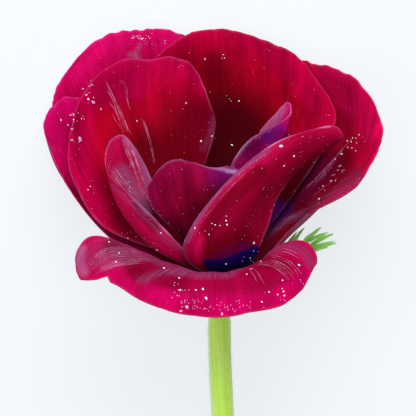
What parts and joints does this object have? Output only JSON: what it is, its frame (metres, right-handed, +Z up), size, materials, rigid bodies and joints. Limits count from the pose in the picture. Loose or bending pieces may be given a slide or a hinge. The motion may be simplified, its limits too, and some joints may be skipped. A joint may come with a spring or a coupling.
{
  "type": "anemone flower",
  "caption": "Picked double anemone bloom with waved crimson and magenta petals, dark boss, cut-leaf collar and cut stem, lying on a surface.",
  "frame": {"origin": "on the surface that the flower lies on, under the spot of the back left petal that rests on it", "axes": "+Z up from the surface, +Y from the cut end of the stem towards the bloom, +X to the right seen from above"},
  "size_m": [0.0855, 0.1884, 0.0552],
  "materials": {
    "petal_magenta": "living petal tissue, silky and finely veined, magenta",
    "petal_crimson": "living petal tissue, silky and finely veined, crimson",
    "petal_purple": "living petal tissue, silky and finely veined, purple with a navy base",
    "leaf_green": "living leaf, matt and slightly hairy, fresh green",
    "boss_navy": "dense pistils and pollen-dusted anthers, matt navy black",
    "stem_green": "fleshy stem, satin and finely hairy, yellow green"
  },
  "bodies": {
    "root": {"petal_left": "petal_magenta", "petal_back_left": "petal_magenta", "petal_right": "petal_crimson", "petal_front": "petal_magenta", "petal_back": "petal_crimson", "petal_left_inner": "petal_crimson", "petal_right_front": "petal_crimson", "petal_left_narrow": "petal_crimson", "petal_centre": "petal_purple", "petal_right_curled": "petal_purple", "bract_right": "leaf_green", "bract_left": "leaf_green", "bract_back": "leaf_green", "boss_and_stamens": "boss_navy", "stem": "stem_green"}
  },
  "joints": []
}
